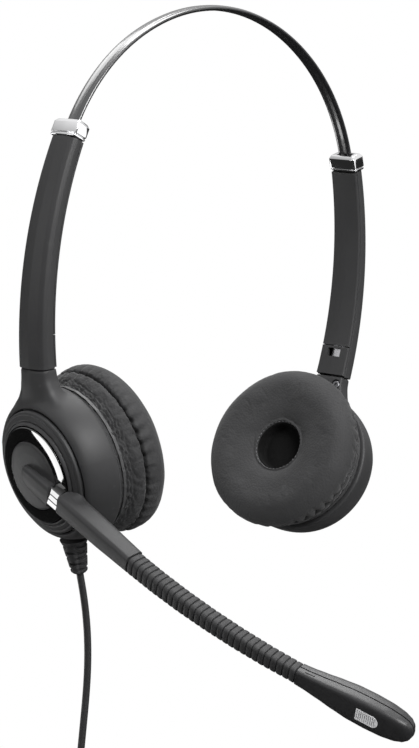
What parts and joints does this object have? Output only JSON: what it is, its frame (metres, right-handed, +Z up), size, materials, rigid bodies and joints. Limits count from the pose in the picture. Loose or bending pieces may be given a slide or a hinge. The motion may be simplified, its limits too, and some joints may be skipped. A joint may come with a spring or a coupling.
{
  "type": "headset microphone",
  "caption": "Binaural headset on a thin sprung headband with sliding arms, padded ear capsules and a turning boom microphone on a ribbed gooseneck.",
  "frame": {"origin": "on the underside of the headband at its crown", "axes": "+Z up, -Y the way the wearer faces, +X to the wearer's left; the boom is on the wearer's right"},
  "size_m": [0.1602, 0.1709, 0.3056],
  "materials": {
    "soft_touch": "matte soft-touch",
    "satin_band": "satin",
    "gloss_black": "gloss",
    "chrome": "polished",
    "spring_steel": "satin",
    "leatherette": "fine grain",
    "speaker_cloth": "woven",
    "inner_plastic": "satin",
    "rubber": "matte",
    "speaker_film": "satin film",
    "magnet_steel": "plated",
    "terminal_board": "solder resist"
  },
  "bodies": {
    "headband": {"headband_sheath": "satin_band", "headband_spring": "spring_steel", "left_band_clip": "spring_steel", "right_band_clip": "spring_steel"},
    "right_arm": {"right_arm_inner_cover": "soft_touch", "right_arm_shell": "soft_touch", "right_baffle": "inner_plastic", "right_collar": "chrome", "right_ear_cushion": "leatherette", "right_housing": "soft_touch", "right_neck_screw_front": "spring_steel", "right_neck_screw_rear": "spring_steel", "right_speaker_cloth": "speaker_cloth", "right_speaker_diaphragm": "speaker_film", "right_speaker_frame": "inner_plastic", "right_speaker_magnet": "magnet_steel", "right_window_plate": "soft_touch", "boom_pivot_bush": "inner_plastic", "boom_friction_washer": "spring_steel", "boom_pivot_screw": "spring_steel", "terminal_board": "terminal_board", "cable_strain_relief": "rubber", "headset_cable": "rubber", "plug_shell": "inner_plastic", "plug_contact_block": "gloss_black"},
    "left_arm": {"left_arm_inner_cover": "soft_touch", "left_arm_shell": "soft_touch", "left_baffle": "inner_plastic", "left_collar": "chrome", "left_ear_cushion": "leatherette", "left_housing": "soft_touch", "left_hub_cap": "soft_touch", "left_hub_cover": "soft_touch", "left_hub_ring": "gloss_black", "left_neck_screw_front": "spring_steel", "left_neck_screw_rear": "spring_steel", "left_speaker_cloth": "speaker_cloth", "left_speaker_diaphragm": "speaker_film", "left_speaker_frame": "inner_plastic", "left_speaker_magnet": "magnet_steel", "left_window_plate": "soft_touch"},
    "boom": {"boom_arm": "soft_touch", "boom_hub_cap": "soft_touch", "boom_hub_ring": "gloss_black"},
    "gooseneck_1": {"gooseneck_sleeve_1": "rubber"},
    "gooseneck_2": {"gooseneck_sleeve_2": "rubber"},
    "gooseneck_3": {"gooseneck_sleeve_3": "rubber"},
    "gooseneck_4": {"gooseneck_sleeve_4": "rubber"},
    "gooseneck_5": {"gooseneck_sleeve_5": "rubber"},
    "gooseneck_6": {"gooseneck_sleeve_6": "rubber"},
    "microphone": {"mic_outer_shell": "soft_touch", "mic_inner_shell": "soft_touch", "mic_outer_grille": "spring_steel", "mic_inner_grille": "spring_steel", "mic_element": "magnet_steel", "mic_foam_disc": "speaker_cloth"}
  },
  "joints": [
    {"name": "right_arm_slide", "type": "hinge", "parent": "headband", "child": "right_arm", "pos_m": [0.06423, 0, -0.0923], "axis": [0, -1, 0], "range_deg": [0, 9.75]},
    {"name": "left_arm_slide", "type": "hinge", "parent": "headband", "child": "left_arm", "pos_m": [-0.06423, 0, -0.0923], "axis": [0, 1, 0], "range_deg": [0, 9.75]},
    {"name": "boom_rotate", "type": "hinge", "parent": "right_arm", "child": "boom", "pos_m": [-0.0684, -0.001, -0.15591], "axis": [-0.9305, 0.1308, -0.342], "range_deg": [-45, 230]},
    {"name": "gooseneck_bend_1", "type": "hinge", "parent": "boom", "child": "gooseneck_1", "pos_m": [-0.06993, -0.04758, -0.17789], "axis": [-0.3655, -0.3874, 0.8464], "range_deg": [-10, 10]},
    {"name": "gooseneck_bend_2", "type": "hinge", "parent": "gooseneck_1", "child": "gooseneck_2", "pos_m": [-0.06925, -0.05795, -0.18235], "axis": [-0.3655, -0.3874, 0.8464], "range_deg": [-10, 10]},
    {"name": "gooseneck_bend_3", "type": "hinge", "parent": "gooseneck_2", "child": "gooseneck_3", "pos_m": [-0.06814, -0.06834, -0.18663], "axis": [-0.3655, -0.3874, 0.8464], "range_deg": [-10, 10]},
    {"name": "gooseneck_bend_4", "type": "hinge", "parent": "gooseneck_3", "child": "gooseneck_4", "pos_m": [-0.0666, -0.07876, -0.19073], "axis": [-0.3655, -0.3874, 0.8464], "range_deg": [-10, 10]},
    {"name": "gooseneck_bend_5", "type": "hinge", "parent": "gooseneck_4", "child": "gooseneck_5", "pos_m": [-0.06464, -0.08918, -0.19465], "axis": [-0.3655, -0.3874, 0.8464], "range_deg": [-10, 10]},
    {"name": "gooseneck_bend_6", "type": "hinge", "parent": "gooseneck_5", "child": "gooseneck_6", "pos_m": [-0.06225, -0.09957, -0.19837], "axis": [-0.3655, -0.3874, 0.8464], "range_deg": [-10, 10]},
    {"name": "gooseneck_bend_7", "type": "hinge", "parent": "gooseneck_6", "child": "microphone", "pos_m": [-0.05944, -0.10993, -0.2019], "axis": [-0.3655, -0.3874, 0.8464], "range_deg": [-10, 10]}
  ],
  "couplings": [
    {"joint": "gooseneck_bend_2", "follows": "gooseneck_bend_1", "ratio": 1},
    {"joint": "gooseneck_bend_3", "follows": "gooseneck_bend_1", "ratio": 1},
    {"joint": "gooseneck_bend_4", "follows": "gooseneck_bend_1", "ratio": 1},
    {"joint": "gooseneck_bend_5", "follows": "gooseneck_bend_1", "ratio": 1},
    {"joint": "gooseneck_bend_6", "follows": "gooseneck_bend_1", "ratio": 1},
    {"joint": "gooseneck_bend_7", "follows": "gooseneck_bend_1", "ratio": 1}
  ]
}
